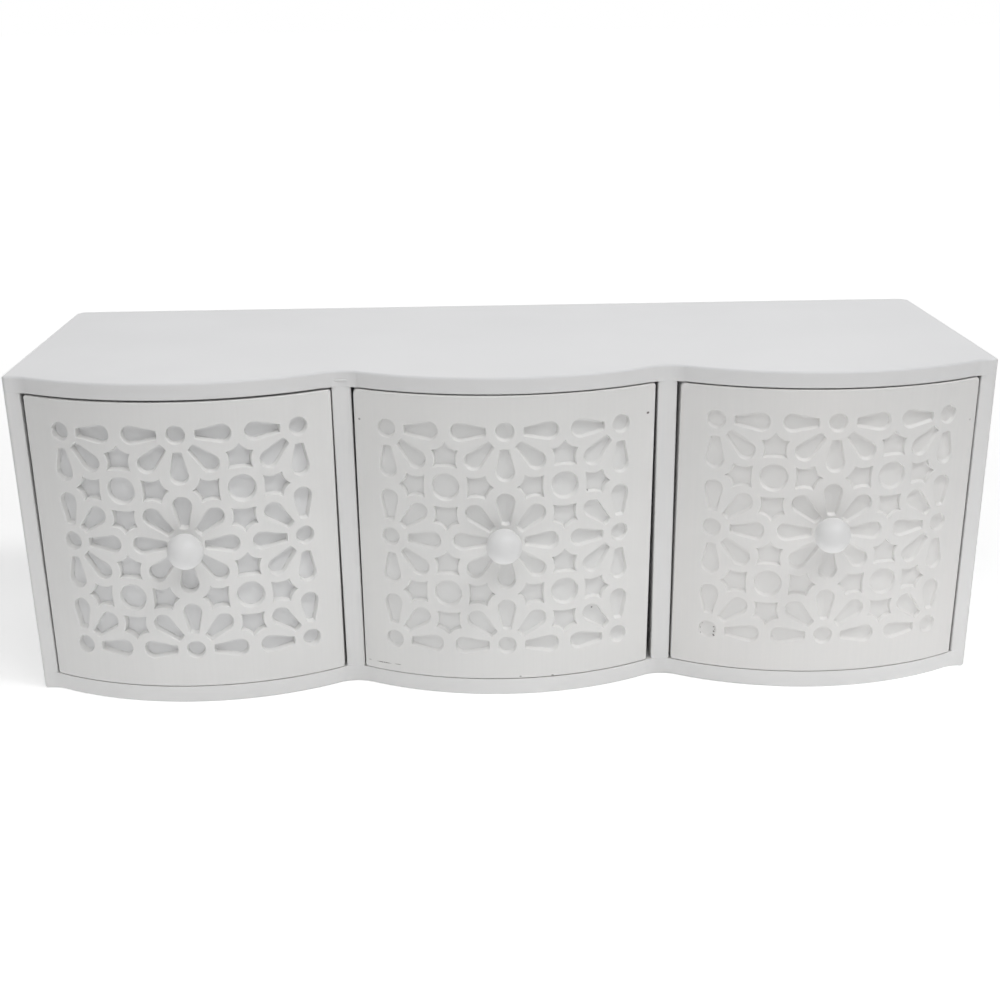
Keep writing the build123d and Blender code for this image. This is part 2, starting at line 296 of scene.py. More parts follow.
def round_corner(spot, hand_x, hand_y, radius):
    """The entries that round a square corner of an outline that is drawn counter-clockwise."""
    x, y = spot
    bend = radius * (1 - sqrt(0.5))
    beside, along = (x - hand_x * radius, y), (x, y - hand_y * radius)
    start, end = (beside, along) if hand_x * hand_y < 0 else (along, beside)
    return [start, ((x - hand_x * bend, y - hand_y * bend), end, corner_steps)]


upright_plane = (lambda x, z: (x, 0, z)), (0, -1, 0)


def level_plane(height):
    return (lambda x, y: (x, y, height)), (0, 0, 1)


def face_front():
    """Turn the flat faces of the open piece so that they look out of the front."""
    pick("FACE", lambda face: face.normal.y > 0)
    bpy.ops.mesh.flip_normals()


def copy_of(piece, name, step=(0, 0, 0)):
    """A copy of a closed piece with its own mesh, moved by a step."""
    choose(piece)
    bpy.ops.object.duplicate()
    made = bpy.context.object
    made.name = name
    made.data.name = name
    bpy.ops.transform.translate(value=step)
    bpy.ops.object.transform_apply(location=True, rotation=True, scale=True)
    return made


def join(pieces):
    """Make several closed pieces one, under the name of the first."""
    deselect_all()
    for piece in pieces:
        piece.select_set(True)
    bpy.context.view_layer.objects.active = pieces[0]
    bpy.ops.object.join()
    return pieces[0]


def apply_modifier(piece, kind, **settings):
    choose(piece)
    modifier = piece.modifiers.new(kind.lower(), kind)
    for key, value in settings.items():
        setattr(modifier, key, value)
    bpy.ops.object.modifier_apply(modifier=modifier.name)


def smooth(piece):
    choose(piece)
    bpy.ops.object.shade_smooth_by_angle(angle=radians(smooth_below))
    apply_modifier(piece, "WEIGHTED_NORMAL", keep_sharp=True)


def round_edges(wanted, width, steps):
    """Round the edges of the open piece that pass a test."""
    pick("EDGE", wanted)
    bpy.ops.mesh.bevel(offset=width, segments=steps, profile=0.5, affect="EDGES")


def settle(piece, body, slot, *replaced):
    """Hide the solids that a finished piece replaces and put it on the body that it rides on. The slot is not used."""
    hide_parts(*replaced)
    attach(piece, body)


# The pattern


def draw_petal(turn):
    """One petal of a flower at the origin, that points along a turn, counter-clockwise from X."""
    across, up = flower_across * cos(turn), flower_up * sin(turn)
    spacing, lean = hypot(across, up), atan2(up, across)
    root = spacing * petal_root_share
    tip = spacing * petal_tip_share
    centre = tip - petal_half
    reach = hypot(root - centre, petal_root_half)
    touch = atan2(petal_root_half, root - centre) - acos(petal_half / reach)
    touch_along, touch_across = centre + petal_half * cos(touch), petal_half * sin(touch)

    def spot(along, aside):
        return along * cos(lean) - aside * sin(lean), along * sin(lean) + aside * cos(lean)

    outline = [
        spot(root, -petal_root_half),
        spot(touch_along, -touch_across),
        (spot(tip, 0), spot(touch_along, touch_across), petal_tip_steps),
        spot(root, petal_root_half),
        (spot(root - petal_root_swell, 0), spot(root, -petal_root_half), petal_root_steps),
    ]
    draw_outline(outline, upright_plane)


def draw_star(across, along, turn):
    """One star of a cell at the origin, that points away from the eye along a turn from Z."""
    middle_along = along * (star_shares[0][1] + star_foot_share) / 2
    right = [(across * x, along * y) for x, y in star_shares]
    points = right + [(-x, y) for x, y in reversed(right[1:])]
    grown = [(x * star_growth, middle_along + (y - middle_along) * star_growth) for x, y in points]
    foot = len(right) - 1
    outline = [grown[0]]
    for index, (x, y) in enumerate(grown):
        end_x, end_y = grown[(index + 1) % len(grown)]
        hollow_x = (x + end_x) / 2 + star_hollow_share * (end_y - y)
        hollow_y = (y + end_y) / 2 - star_hollow_share * (end_x - x)
        if index == foot:
            hollow_y = y + along * (star_foot_share - star_shares[-1][1])
        outline.append(((hollow_x, hollow_y), (end_x, end_y)))

    def spot(x, y):
        return x * cos(turn) - y * sin(turn), x * sin(turn) + y * cos(turn)

    turned = [spot(*outline[0])]
    turned += [(spot(*through), spot(*end), star_side_steps) for through, end in outline[1:]]
    draw_outline(turned, upright_plane)


def draw_eye(radius, sides):
    pick_none()
    bpy.ops.mesh.primitive_circle_add(
        vertices=sides, radius=radius, fill_type="NGON", location=(0, 0, 0), rotation=(pi / 2, 0, 0)
    )


def make_pattern():
    """All the holes of one front, as flat faces about the middle flower."""
    flower = empty_piece("flower")
    draw_eye(flower_eye, flower_eye_sides)
    for index in range(petals):
        draw_petal(index * 2 * pi / petals)
    close_piece()
    cell = empty_piece("cell")
    draw_eye(cell_eye, cell_eye_sides)
    for index in range(cell_stars):
        along, across = (flower_up, flower_across) if index % 2 == 0 else (flower_across, flower_up)
        draw_star(across, along, index * 2 * pi / cell_stars)
    close_piece()
    copies = []
    for column in (-1, 0, 1):
        for row in (-1, 0, 1):
            copies.append(copy_of(flower, "flower_copy", (column * flower_across, 0, row * flower_up)))
    for column in (-0.5, 0.5):
        for row in (-0.5, 0.5):
            copies.append(copy_of(cell, "cell_copy", (column * flower_across, 0, row * flower_up)))
    pattern = join(copies)
    pattern.name = "pattern"
    open_piece(pattern)

    def unwanted(face):
        spot = middle(face)
        outside = (
            abs(spot.x) > pattern_edge_share * flower_across or abs(spot.z) > pattern_edge_share * flower_up
        )
        # the middle flower has the knob for its eye
        return outside or hypot(spot.x, spot.z) < mm

    pick("FACE", unwanted)
    bpy.ops.mesh.delete(type="VERT")
    face_front()
    close_piece()
    bpy.data.objects.remove(flower)
    bpy.data.objects.remove(cell)
    return pattern


def front_outline(half, low, high, sides, corners):
    """The outline of a flat front, its corners rounded and its sides a little out of true."""
    places = ((-1, low), (1, low), (1, high), (-1, high))
    first_x, first_z = places[0][0] * (half + sides[0]), places[0][1]
    points = [(first_x + corners[0], first_z)]
    for index in (1, 2, 3, 0):
        hand_x, z = places[index]
        spot = (hand_x * (half + sides[index]), z)
        points += round_corner(spot, hand_x, 1 if z == high else -1, corners[index])
    return points


def sink(wanted, deepest, rim, lean, floor, fill):
    """Sink the wanted faces of the open piece, with paint rounding their rims and floors and sagging at the bottom."""
    pick("FACE", wanted)
    profile = []
    for step in range(1, rim_steps + 1):
        angle = step / rim_steps * pi / 2
        profile.append((rim * sin(angle), rim * (1 - cos(angle))))
    for step in range(floor_steps + 1):
        angle = step / floor_steps * pi / 2
        profile.append((rim + lean + floor * (1 - cos(angle)), deepest - floor * (1 - sin(angle))))
    gone, sunk = 0, 0
    for reach, depth in profile:
        bpy.ops.mesh.inset(thickness=reach - gone, depth=sunk - depth, use_individual=True)
        bpy.ops.transform.translate(value=(0, 0, fill * (depth - sunk) / deepest))
        gone, sunk = reach, depth


def hollow_floors(deepest):
    """Make the floors of the open piece's petals and eyes hollow, deepest above their middle."""

    def floor(face):
        sides = len(face.verts)
        return sides > 4 and sides != star_sides and all(abs(v.co.y - deepest) < tiny for v in face.verts)

    pick("FACE", floor)
    bpy.ops.mesh.poke(offset=-floor_hollow, center_mode="BOUNDS")
    pick("VERT", lambda v: v.co.y > deepest + floor_hollow / 2)
    bpy.ops.transform.translate(value=(0, 0, hollow_rise))


def note_carving(half, deepest):
    """Note on the open piece how deep each point is carved, from 0 at its face to 1 at the edge of a hole's
    floor."""
    shape = bmesh.from_edit_mesh(bpy.context.object.data)
    layer = shape.verts.layers.float.new("carved")
    for v in shape.verts:
        depth = v.co.y if abs(v.co.x) < half else 0.0
        v[layer] = max(0.0, depth / deepest)
    bmesh.update_edit_mesh(bpy.context.object.data)


def make_front(drawer, pattern, shift, rise, fit, deepest):
    """A drawer's carved front: the pattern is sunk into a flat board, which is then bent."""
    name = drawer + "_front"
    low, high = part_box(drawer + "_front_fretwork")
    sides, head, corners = fit
    half_width = (high[0] - low[0]) / 2
    height_middle = (low[2] + high[2]) / 2
    inner_radius = bow_radius - front_thickness
    front_half = bow_radius * asin(half_width / bow_radius)
    back_half = bow_radius * asin(half_width / inner_radius)
    field_half = front_half - front_round
    field_low, field_high = low[2] - foot_drop + front_round, high[2] + head - front_round

    holes = copy_of(pattern, name, (shift, 0, height_middle + rise))
    field = copy_of(holes, name + "_field")
    open_piece(field)
    pick_all()
    bpy.ops.mesh.delete(type="ONLY_FACE")
    draw_outline(front_outline(field_half, field_low, field_high, sides, corners), upright_plane)
    pick_all()
    bpy.ops.mesh.delete(type="ONLY_FACE")
    pick_all()
    bpy.ops.mesh.fill(use_beauty=True)
    face_front()
    close_piece()
    front = join([holes, field])
    front.name = name
    open_piece(front)
    pick_all()
    bpy.ops.mesh.remove_doubles(threshold=seam)

    sink(lambda face: len(face.verts) > 4 and len(face.verts) != star_sides, deepest, *hollow_paint)
    sink(lambda face: len(face.verts) == star_sides and abs(middle(face).y) < tiny, deepest, *star_paint)
    hollow_floors(deepest)
    note_carving(field_half, deepest)

    # The edge is rounded back, and the board gets its thickness
    pick("EDGE", lambda edge: edge.is_boundary)
    half_z = (field_high - field_low) / 2
    centre = (0, 0, (field_low + field_high) / 2)
    gone, sunk = 0, 0
    for step in range(1, front_edge_steps + 1):
        angle = step / front_edge_steps * pi / 2
        reach, depth = front_round * sin(angle), front_round * (1 - cos(angle))
        grow_x = (field_half + reach) / (field_half + gone)
        grow_z = (half_z + reach) / (half_z + gone)
        bpy.ops.mesh.extrude_edges_move(TRANSFORM_OT_translate={"value": (0, depth - sunk, 0)})
        bpy.ops.transform.resize(value=(grow_x, 1, grow_z), center_override=centre)
        gone, sunk = reach, depth
    bpy.ops.mesh.extrude_edges_move(TRANSFORM_OT_translate={"value": (0, front_thickness - sunk, 0)})
    bpy.ops.transform.resize(value=(back_half / front_half, 1, 1), center_override=centre)
    bpy.ops.mesh.edge_face_add()

    # Upright cuts let it bend
    cuts = int(2 * back_half / strip_width)
    for index in range(1, cuts):
        pick_all()
        place = -back_half + index * 2 * back_half / cuts
        bpy.ops.mesh.bisect(plane_co=(place, 0, 0), plane_no=(1, 0, 0))
    close_piece()
    apply_modifier(
        front, "SIMPLE_DEFORM", deform_method="BEND", deform_axis="Z", angle=2 * back_half / bow_radius
    )
    front.location = ((low[0] + high[0]) / 2, low[1], 0)
    choose(front)
    bpy.ops.object.transform_apply(location=True, rotation=True, scale=True)
    smooth(front)
    settle(front, drawer, "drawer_front_paint", drawer + "_front_fretwork", drawer + "_front_backing")
    return front


pattern = make_pattern()
fronts = [
    make_front(drawer, pattern, shift, rise, fit, deepest)
    for drawer, shift, rise, fit, deepest in zip(drawers, pattern_shifts, pattern_rises, front_fits, carving_depths)
]
bpy.data.objects.remove(pattern)

# The case


def panel_outline():
    """The outline of the top and bottom panels, counter-clockwise from the front left."""
    half, back = case_high[0], case_high[1]
    points = [(-half + front_corner, flats_y)]
    for left, right in bay_edges:
        points.append((left, flats_y))
        points.append((((left + right) / 2, bow_front_y), (right, flats_y), bow_steps))
    for spot, hand_x, hand_y, radius in (
        ((half, flats_y), 1, -1, front_corner),
        ((half, back), 1, 1, rear_corner),
        ((-half, back), -1, 1, rear_corner),
        ((-half, flats_y), -1, -1, front_corner),
    ):
        points += round_corner(spot, hand_x, hand_y, radius)
    return points


def make_panel(node, name, outer, inner, inner_round):
    """The top or bottom panel: rounded outside, softened along the bows inside, square at its joints."""
    low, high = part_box(node)
    panel = empty_piece(name)
    draw_outline(panel_outline(), level_plane(low[2]))
    pick_all()
    bpy.ops.mesh.extrude_region_move(TRANSFORM_OT_translate={"value": (0, 0, high[2] - low[2])})
    pick_all()
    bpy.ops.mesh.normals_make_consistent(inside=False)

    def at_level(edge, level):
        return all(abs(v.co.z - level) < tiny for v in edge.verts)

    def at_meeting(edge):
        spot = middle(edge)
        upright = abs(edge.verts[0].co.z - edge.verts[1].co.z) > tiny
        ends = [x for bay in bay_edges for x in bay]
        return upright and abs(spot.y - flats_y) < tiny and min(abs(spot.x - x) for x in ends) < tiny

    def inside_bow(edge):
        return at_level(edge, inner) and middle(edge).y < flats_y - meeting_clear

    round_edges(at_meeting, meeting_round, meeting_steps)
    round_edges(lambda edge: at_level(edge, outer), panel_round, panel_steps)
    # the meetings and flats stay square, where the uprights join
    round_edges(inside_bow, inner_round, opening_steps)
    close_piece()
    smooth(panel)
    settle(panel, "case", "case_paint", node)
    return panel


def add_board(low, high):
    """Add a square board to the open piece."""
    centre = [(a + b) / 2 for a, b in zip(low, high)]
    size = [b - a for a, b in zip(low, high)]
    bpy.ops.mesh.primitive_cube_add(size=1, location=centre, scale=size)


def round_uprights(x, y, radius):
    """Round the upright edges of the open piece at a place."""

    def wanted(edge):
        return all(abs(v.co.x - x) < tiny and abs(v.co.y - y) < tiny for v in edge.verts)

    round_edges(wanted, radius, corner_steps)


def make_upright(node, name, roundings):
    """A side panel or a divider: square where it meets the other panels, rounded along its front and back."""
    low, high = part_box(node)
    low, high = list(low), list(high)
    low[2], high[2] = opening_low, opening_high
    upright = empty_piece(name)
    add_board(low, high)
    xs, ys = (low[0], high[0]), (low[1], high[1])
    for side, end, radius in roundings:
        round_uprights(xs[side], ys[end], radius)
    close_piece()
    smooth(upright)
    settle(upright, "case", "case_paint", node)
    return upright


def make_ridge():
    """The low ridge of paint over the top end of the left divider."""
    ridge = empty_piece("joint_ridge")
    low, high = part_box("left_divider")
    place = ((low[0] + high[0]) / 2, flats_y + ridge_sunk, high[2] + ridge_reach[2])
    bpy.ops.mesh.primitive_uv_sphere_add(
        segments=ridge_segments, ring_count=ridge_rings, radius=1, location=place, scale=ridge_reach
    )
    close_piece()
    smooth(ridge)
    return ridge


def make_case():
    top = make_panel("top_panel", "top_board", case_high[2], opening_high, opening_round)
    top = join([top, make_ridge()])
    bottom = make_panel("bottom_panel", "bottom_board", 0, opening_low, sill_round)
    outer_left = ((0, 0, front_corner), (0, 1, rear_corner), (1, 0, opening_round))
    outer_right = ((1, 0, front_corner), (1, 1, rear_corner), (0, 0, opening_round))
    both = ((0, 0, opening_round), (1, 0, opening_round))
    boards = [
        top,
        bottom,
        make_upright("left_side_panel", "left_side_board", outer_left),
        make_upright("right_side_panel", "right_side_board", outer_right),
        make_upright("left_divider", "left_divider_board", both),
        make_upright("right_divider", "right_divider_board", both),
        make_upright("back_panel", "back_board", ()),
    ]
    return boards


def make_drawer_board(drawer, node, name, cut=None):
    """A board of a drawer's box, its edges eased. A cut trims its front end to the bent front."""
    board = empty_piece(name)
    low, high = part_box(node)
    add_board(low, high)
    if cut:
        place, normal = cut
        pick_all()
        bpy.ops.mesh.bisect(plane_co=place, plane_no=normal, use_fill=True, clear_outer=True)
    close_piece()
    apply_modifier(board, "BEVEL", width=board_round, segments=board_steps, limit_method="ANGLE")
    smooth(board)
    settle(board, drawer, "drawer_paint", node)
    return board


def make_drawer_box(drawer):
    """The two side boards and the back board of a drawer."""
    low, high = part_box(drawer + "_front_backing")
    centre, half = (low[0] + high[0]) / 2, (high[0] - low[0]) / 2
    axis_y = bow_front_y + bow_radius
    inner_radius = bow_radius - front_thickness
    boards = []
    for hand, side in ((-1, "left_side"), (1, "right_side")):
        node = f"{drawer}_{side}"
        side_low, side_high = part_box(node)
        inner = half - (side_high[0] - side_low[0])
        near = axis_y - sqrt(inner_radius**2 - inner**2)
        far = axis_y - sqrt(inner_radius**2 - half**2)
        place = (centre + hand * inner, near, 0)
        normal = (hand * (far - near), inner - half, 0)
        boards.append(make_drawer_board(drawer, node, node + "_board", (place, normal)))
    boards.append(make_drawer_board(drawer, drawer + "_back", drawer + "_back_board"))
    return boards


def make_knob(drawer):
    """A turned ball with a small flat where it sits on the front."""
    low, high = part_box(drawer + "_knob")
    radius = (high[0] - low[0]) / 2
    centre = ((low[0] + high[0]) / 2, low[1] + radius, (low[2] + high[2]) / 2)
    knob = empty_piece(drawer + "_ball")
    bpy.ops.mesh.primitive_uv_sphere_add(
        segments=ball_segments, ring_count=ball_rings, radius=radius, location=centre, rotation=(pi / 2, 0, 0)
    )
    pick_all()
    bpy.ops.mesh.bisect(plane_co=(0, high[1], 0), plane_no=(0, 1, 0), use_fill=True, clear_outer=True)
    close_piece()
    smooth(knob)
    settle(knob, drawer, "knob_paint", drawer + "_knob")
    return knob


boards = make_case()
boxes = [board for drawer in drawers for board in make_drawer_box(drawer)]
knobs = [make_knob(drawer) for drawer in drawers]

# Camera, as fitted to the photo
camera_place = (-0.0154864, -0.5938479, 0.2425714)
camera_turn = (66.79702, 0.56537, -2.13295)
bpy.ops.object.camera_add(location=camera_place, rotation=[radians(angle) for angle in camera_turn])
camera = bpy.context.object
camera.data.sensor_width = 36.0
camera.data.lens = 54.978
camera.data.shift_x = -0.014933
camera.data.shift_y = 0.157591
bpy.context.scene.camera = camera

# Finishes


class Finish:
    """A material's nodes, added one after the other."""

    def __init__(self, name):
        self.material = bpy.data.materials.new(name)
        self.material.use_nodes = True
        self.tree = self.material.node_tree
        self.shader = self.tree.nodes["Principled BSDF"]
        self.place = self.add("ShaderNodeTexCoord").outputs["Object"]

    def add(self, kind, inputs=None, **settings):
        node = self.tree.nodes.new(kind)
        for key, value in settings.items():
            setattr(node, key, value)
        for key, value in (inputs or {}).items():
            self.join(value, node.inputs[key])
        return node

    def join(self, value, socket):
        if isinstance(value, bpy.types.NodeSocket):
            self.tree.links.new(value, socket)
        else:
            socket.default_value = value

    def noise(self, scale, stretch=(1, 1, 1), detail=3.0, rough=0.5):
        spot = self.add("ShaderNodeMapping", {"Vector": self.place, "Scale": stretch})
        made = self.add(
            "ShaderNodeTexNoise",
            {"Vector": spot.outputs[0], "Scale": scale, "Detail": detail, "Roughness": rough},
        )
        return made.outputs["Fac"]

    def spread(self, value, low, high, to_low=0.0, to_high=1.0):
        """Spread a value from one range to another, held at its ends."""
        made = self.add(
            "ShaderNodeMapRange",
            {"Value": value, "From Min": low, "From Max": high, "To Min": to_low, "To Max": to_high},
        )
        return made.outputs["Result"]

    def math(self, operation, *values):
        made = self.add("ShaderNodeMath", operation=operation)
        for value, socket in zip(values, made.inputs):
            self.join(value, socket)
        return made.outputs[0]

    def mix(self, share, first, second):
        made = self.add("ShaderNodeMix", data_type="RGBA")
        self.join(share, made.inputs["Factor"])
        self.join(first, made.inputs["A"])
        self.join(second, made.inputs["B"])
        return made.outputs["Result"]

    def bump(self, height, strength, distance, under=None):
        made = self.add("ShaderNodeBump", {"Height": height, "Strength": strength, "Distance": distance})
        if under:
            self.join(under, made.inputs["Normal"])
        return made.outputs["Normal"]

    def blot(self, centre, reach, full=0.55):
        """1 near the middle of an ellipsoid, out to a share of its reach, then falling to 0 at its edge."""
        away = self.add("ShaderNodeVectorMath", {0: self.place, 1: centre}, operation="SUBTRACT").outputs[0]
        share = self.add("ShaderNodeVectorMath", {0: away, 1: reach}, operation="DIVIDE").outputs[0]
        length = self.add("ShaderNodeVectorMath", {0: share}, operation="LENGTH").outputs["Value"]
        return self.spread(length, full, 1.0, 1.0, 0.0)

    def largest(self, values):
        found = values[0]
        for value in values[1:]:
            found = self.math("MAXIMUM", found, value)
        return found


# How many clouds of tone and grains of the paint's skin go into a metre, and how far strokes and skin stand out
cloud_scale, peel_scale = 16.0, 1500.0
stroke_share, stroke_height = 0.3, 0.05 * mm
peel_share, peel_height = 0.25, 0.02 * mm
satin, dull, matt = 0.42, 0.52, 0.55
rough_less, rough_more = 0.04, 0.06
cloud_tone, stroke_tone = 0.6, 0.4
paint_sheen = 0.45
# The ranges that most of a soft and of a fine noise lies in
soft_range, fine_range = (0.35, 0.65), (0.3, 0.7)


def painted(name, colour, shade, brush, rough=satin, wear_and_shade=None):
    """White paint, brushed along one direction over wood: a little uneven in colour, gloss and height."""
    finish = Finish(name)
    cloud = finish.noise(cloud_scale, detail=2.0)
    stroke = finish.noise(1.0, stretch=brush, detail=4.0, rough=0.6)
    peel = finish.noise(peel_scale, detail=2.0)
    clouds = finish.spread(cloud, *soft_range, 0.0, cloud_tone)
    strokes = finish.spread(stroke, *fine_range, 0.0, stroke_tone)
    tone = finish.math("ADD", clouds, strokes)
    coat = finish.mix(tone, shade, colour)
    # Wear, dirt and painted shade are laid over the paint's colour
    if wear_and_shade:
        coat = wear_and_shade(finish, coat)
    finish.join(coat, finish.shader.inputs["Base Color"])
    gloss = finish.spread(stroke, *fine_range, rough - rough_less, rough + rough_more)
    finish.join(gloss, finish.shader.inputs["Roughness"])
    normal = finish.bump(stroke, stroke_share, stroke_height)
    normal = finish.bump(peel, peel_share, peel_height, normal)
    finish.join(normal, finish.shader.inputs["Normal"])
    finish.shader.inputs["Specular IOR Level"].default_value = paint_sheen
    return finish


def soiled_and_shaded(hole_floor_shade, grime_and_shade, marks):
    """Wear and painted shade of a carved front: the holes' floors take a darker colour, which is painted shade, dirt
    and painted shade lie along the foot of the walls, and marks lie at their places."""

    def wear_and_shade(finish, coat):
        depth = finish.add("ShaderNodeAttribute", attribute_name="carved").outputs["Fac"]
        wall = finish.spread(depth, *dirt_and_shade_from)
        floor = finish.spread(depth, *dirt_and_shade_until, 1.0, 0.0)
        broken = finish.spread(finish.noise(grime_and_shade_scale), *grime_and_shade_breaks)
        # Dirt and painted shade: a dark line along the foot of the walls of the holes
        dirt_and_shade = finish.math("MULTIPLY", finish.math("MULTIPLY", wall, floor), finish.math("MULTIPLY", broken, grime_and_shade))
        # Painted shade: the floors of the holes take their own darker colour
        coat = finish.mix(finish.spread(depth, *hole_floor_shade_from), coat, hole_floor_shade)
        coat = finish.mix(dirt_and_shade, coat, grime_and_shade_colour)
        if marks:
            ragged = finish.spread(finish.noise(ragged_scale), *mark_breaks, mark_least, 1.0)
            spots = []
            for x, y, z, reach_x, reach_z, strength in marks:
                spot = finish.blot((x * mm, y * mm, z * mm), (reach_x * mm, mark_depth, reach_z * mm))
                spots.append(finish.math("MULTIPLY", spot, strength))
            coat = finish.mix(finish.math("MULTIPLY", finish.largest(spots), ragged), coat, mark_colour)
        return coat

    return wear_and_shade


def shaded_top_edge(finish, coat):
    """Painted shade on the top: its front edge, below the rounding, is coloured a little greyer."""
    height = finish.add("ShaderNodeSeparateXYZ", {0: finish.place}).outputs["Z"]
    edge = finish.spread(height, case_high[2] - edge_below, case_high[2] - edge_from, 1.0, 0.0)
    return finish.mix(edge, coat, edge_shade_colour)


# The greyer colour of the top's front edge: painted shade
edge_shade_colour = (0.745, 0.744, 0.744, 1)
edge_from, edge_below = 0.5 * mm, 1.2 * mm  # where the edge's painted shade starts under the top, and is full
# The colours of the holes' floors, one per drawer: painted shade
hole_floor_shades = ((0.765, 0.767, 0.77, 1), (0.765, 0.764, 0.757, 1), (0.78, 0.773, 0.762, 1))
# How dark the line of dirt and painted shade at the foot of the walls is, one per drawer
grime_and_shade_strengths = (0.3, 0.12, 0.0)
# The colour of that line of dirt and painted shade
grime_and_shade_colour = (0.20, 0.195, 0.19, 1)
# Shares of a hole's depth over which the dirt and painted shade at the walls' foot and the floors' painted shade set
# in, and the dirt and painted shade end
dirt_and_shade_from, hole_floor_shade_from, dirt_and_shade_until = (0.7, 0.9), (0.9, 1.0), (0.96, 1.0)
# Noise breaks up the dirt and painted shade, and the marks
grime_and_shade_scale, ragged_scale = 230.0, 2500.0
grime_and_shade_breaks, mark_breaks, mark_least = (0.42, 0.62), (0.35, 0.5), 0.4
mark_colour = (0.06, 0.045, 0.04, 1)
mark_depth = 6.0 * mm
# Scuffs, flecks and open brad holes on the fronts: centre, half width and half height in millimetres, strength
middle_marks = (
    (-47.9, -52.0, 9.75, 3.4, 0.26, 0.8),
    (-42.6, -54.7, 9.87, 1.5, 0.22, 0.6),
    (-53.5, -48.9, 9.85, 0.8, 0.3, 0.3),
    (29.3, -59.7, 78.9, 0.4, 0.4, 0.7),
    (31.4, -59.0, 32.5, 0.45, 0.45, 0.8),
    (4.1, -63.9, 7.5, 0.6, 0.35, 0.6),
    (16.3, -62.7, 7.1, 0.7, 0.4, 0.7),
    (51.9, -49.9, 105.0, 0.6, 0.6, 1.0),
    (-53.0, -49.2, 104.7, 0.5, 0.5, 0.6),
)
right_marks = (
    (78.6, -56.0, 20.4, 0.4, 0.35, 0.9),
    (78.6, -56.0, 22.2, 0.4, 0.35, 0.8),
    (78.5, -56.0, 19.2, 0.4, 0.4, 0.9),
    (78.9, -56.0, 21.3, 0.3, 0.3, 0.5),
    (73.8, -53.8, 21.4, 0.25, 0.4, 0.4),
    (74.5, -54.1, 23.3, 0.3, 0.25, 0.45),
    (73.8, -53.8, 19.6, 0.25, 0.4, 0.4),
    (170.8, -49.5, 100.2, 0.45, 0.45, 0.3),
)
front_wears_and_shades = [
    soiled_and_shaded(hole_floor_shade, grime_and_shade, marks)
    for hole_floor_shade, grime_and_shade, marks in zip(hole_floor_shades, grime_and_shade_strengths, ((), middle_marks, right_marks))
]

# Strokes to the metre along each axis
upright_brush = (900.0, 900.0, 18.0)
level_brush = (18.0, 900.0, 900.0)
knob_brush = (300.0, 60.0, 300.0)
scratches = (4000.0, 300.0, 4000.0)
case_white, case_shade = (0.78, 0.779, 0.776, 1), (0.745, 0.744, 0.741, 1)
front_whites = ((0.78, 0.777, 0.768, 1), (0.78, 0.776, 0.764, 1), (0.786, 0.775, 0.762, 1))
front_shade = (0.745, 0.742, 0.733, 1)
# The top's whites are a little bluer than the case's: painted skylight
sky_tinted_top_white, sky_tinted_top_shade = (0.78, 0.782, 0.79, 1), (0.745, 0.747, 0.755, 1)
box_white, box_shade = (0.76, 0.76, 0.75, 1), (0.70, 0.70, 0.69, 1)
knob_white, knob_shade = (0.78, 0.78, 0.78, 1), (0.75, 0.75, 0.75, 1)
screw_bright, screw_dark = (0.62, 0.61, 0.58, 1), (0.42, 0.41, 0.39, 1)
brad_bright, brad_dark = (0.20, 0.19, 0.18, 1), (0.08, 0.075, 0.07, 1)
steel_rough = (0.28, 0.45)
case_paint = painted("case_paint", case_white, case_shade, upright_brush)
# The top's paint holds painted skylight in its bluer white and painted shade along its front edge
top_sky_and_shade_paint = painted("top_sky_and_shade_paint", sky_tinted_top_white, sky_tinted_top_shade, level_brush, wear_and_shade=shaded_top_edge)
bottom_paint = painted("bottom_paint", case_white, case_shade, level_brush)
front_paints = [
    painted(drawer + "_front_paint", white, front_shade, upright_brush, dull, wear_and_shade)
    for drawer, white, wear_and_shade in zip(drawers, front_whites, front_wears_and_shades)
]
box_paint = painted("box_paint", box_white, box_shade, level_brush, matt)
knob_paint = painted("knob_paint", knob_white, knob_shade, knob_brush)


def steel(name, colour, shade):
    """Bright drawn steel with fine scratches."""
    finish = Finish(name)
    scratch = finish.noise(1.0, stretch=scratches)
    finish.join(finish.mix(scratch, shade, colour), finish.shader.inputs["Base Color"])
    finish.join(finish.spread(scratch, *fine_range, *steel_rough), finish.shader.inputs["Roughness"])
    finish.shader.inputs["Metallic"].default_value = 1.0
    return finish


screw_steel = steel("screw_steel", screw_bright, screw_dark)
brad_steel = steel("brad_steel", brad_bright, brad_dark)


def finish_with(piece, finish):
    piece.data.materials.clear()
    piece.data.materials.append(finish.material)


for piece in boards:
    finish_with(piece, {"top_board": top_sky_and_shade_paint, "bottom_board": bottom_paint}.get(piece.name, case_paint))
for piece, finish in zip(fronts, front_paints):
    finish_with(piece, finish)
for piece in boxes:
    finish_with(piece, box_paint)
for piece in knobs:
    finish_with(piece, knob_paint)
for name, node in nodes.items():
    if name.endswith("brads"):
        finish_with(node, brad_steel)
    elif name.endswith("screw"):
        finish_with(node, screw_steel)
    else:
        finish_with(node, box_paint)

# Floor and light
floor_size = 30.0
floor_cloud_scale, floor_rough = 3.0, 0.9
floor_shade, floor_light = (0.84, 0.84, 0.84, 1), (0.86, 0.86, 0.86, 1)
pure_white = (1, 1, 1, 1)
# The floor's own glow as the camera sees it, near the chest and far from it: distance and strength
seen_near, seen_far = (0.35, 0.42), (1.5, 1.0)
# The sheet in front of the chest throws light up at it, most from three places: x, y, strength
sheet_glows = ((-0.2, -0.15, 0.90), (0.0, -0.17, 0.90), (0.2, -0.15, 1.15))
sheet_reach = 0.161
sky_glow, backdrop_glow = 0.01, 1.0
chest_middle = (0, 0, 0.06)
